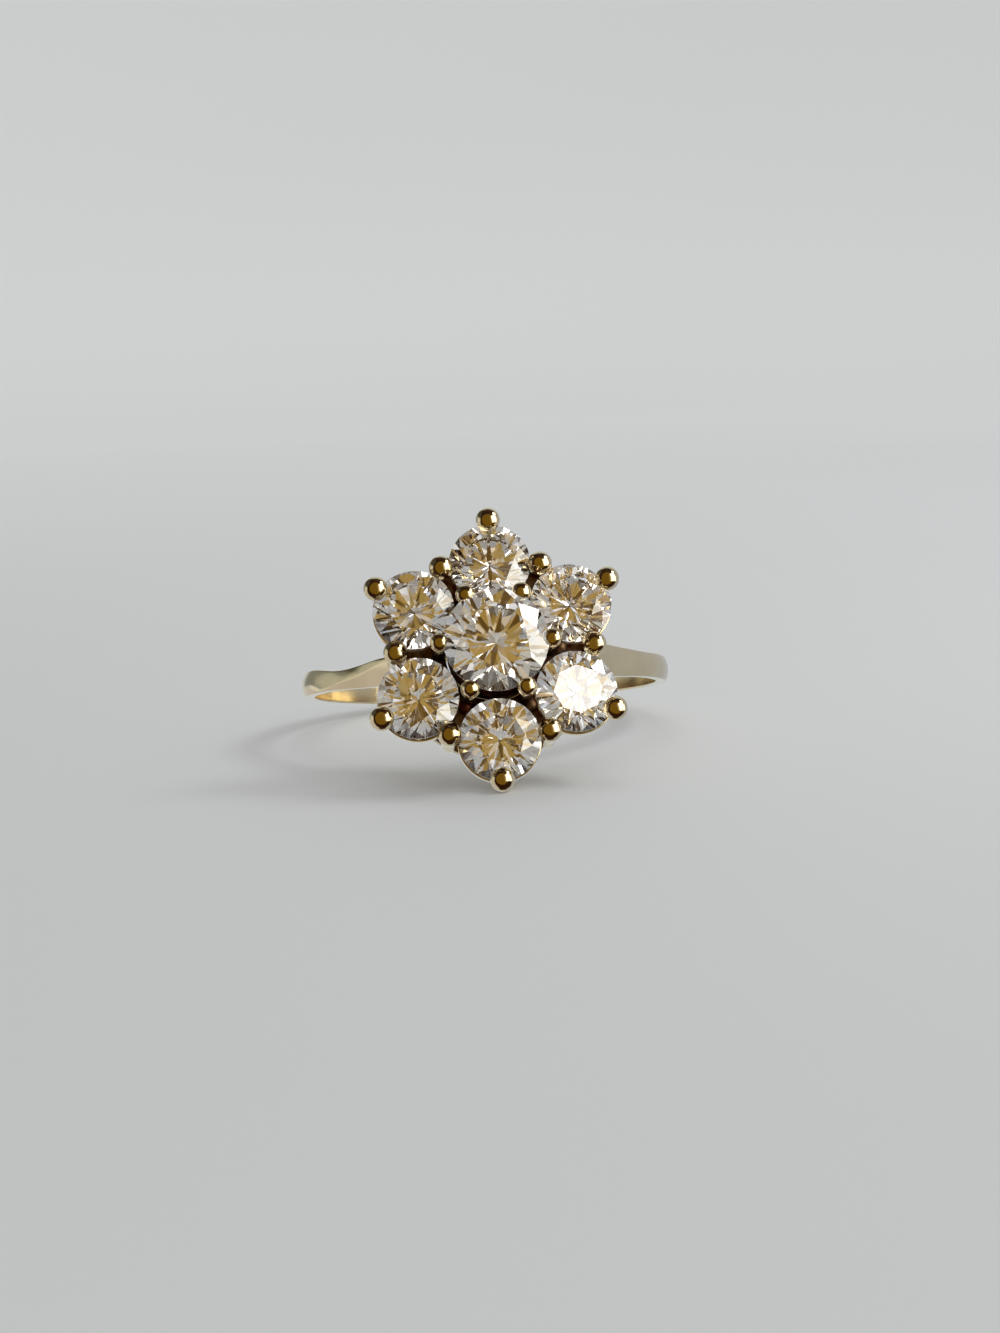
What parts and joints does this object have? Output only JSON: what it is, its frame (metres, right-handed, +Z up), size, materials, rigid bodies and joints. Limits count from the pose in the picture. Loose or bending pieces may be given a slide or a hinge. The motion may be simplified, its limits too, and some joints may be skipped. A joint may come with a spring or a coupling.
{
  "type": "cubic zirconia cluster ring",
  "caption": "Flower cluster ring lying on its side: a raised round stone ringed by petal stones in ball-tipped claws on a tapering gold shank.",
  "frame": {"origin": "centre of the box's underside, on the surface that the ring lies on", "axes": "+Z up, -Y the side that the head faces, so +Y runs along the ring's longest extent from the head to the back of the shank, +X to the right as seen from the head"},
  "size_m": [0.0192, 0.0258, 0.0131],
  "materials": {
    "yellow_gold": "polished pale yellow gold of about 9 carat",
    "cubic_zirconia": "clear colourless stone with polished facets"
  },
  "bodies": {
    "root": {"ring_mount": "yellow_gold", "centre_stone": "cubic_zirconia", "petal_stone_1": "cubic_zirconia", "petal_stone_2": "cubic_zirconia", "petal_stone_3": "cubic_zirconia", "petal_stone_4": "cubic_zirconia", "petal_stone_5": "cubic_zirconia", "petal_stone_6": "cubic_zirconia"}
  },
  "joints": []
}
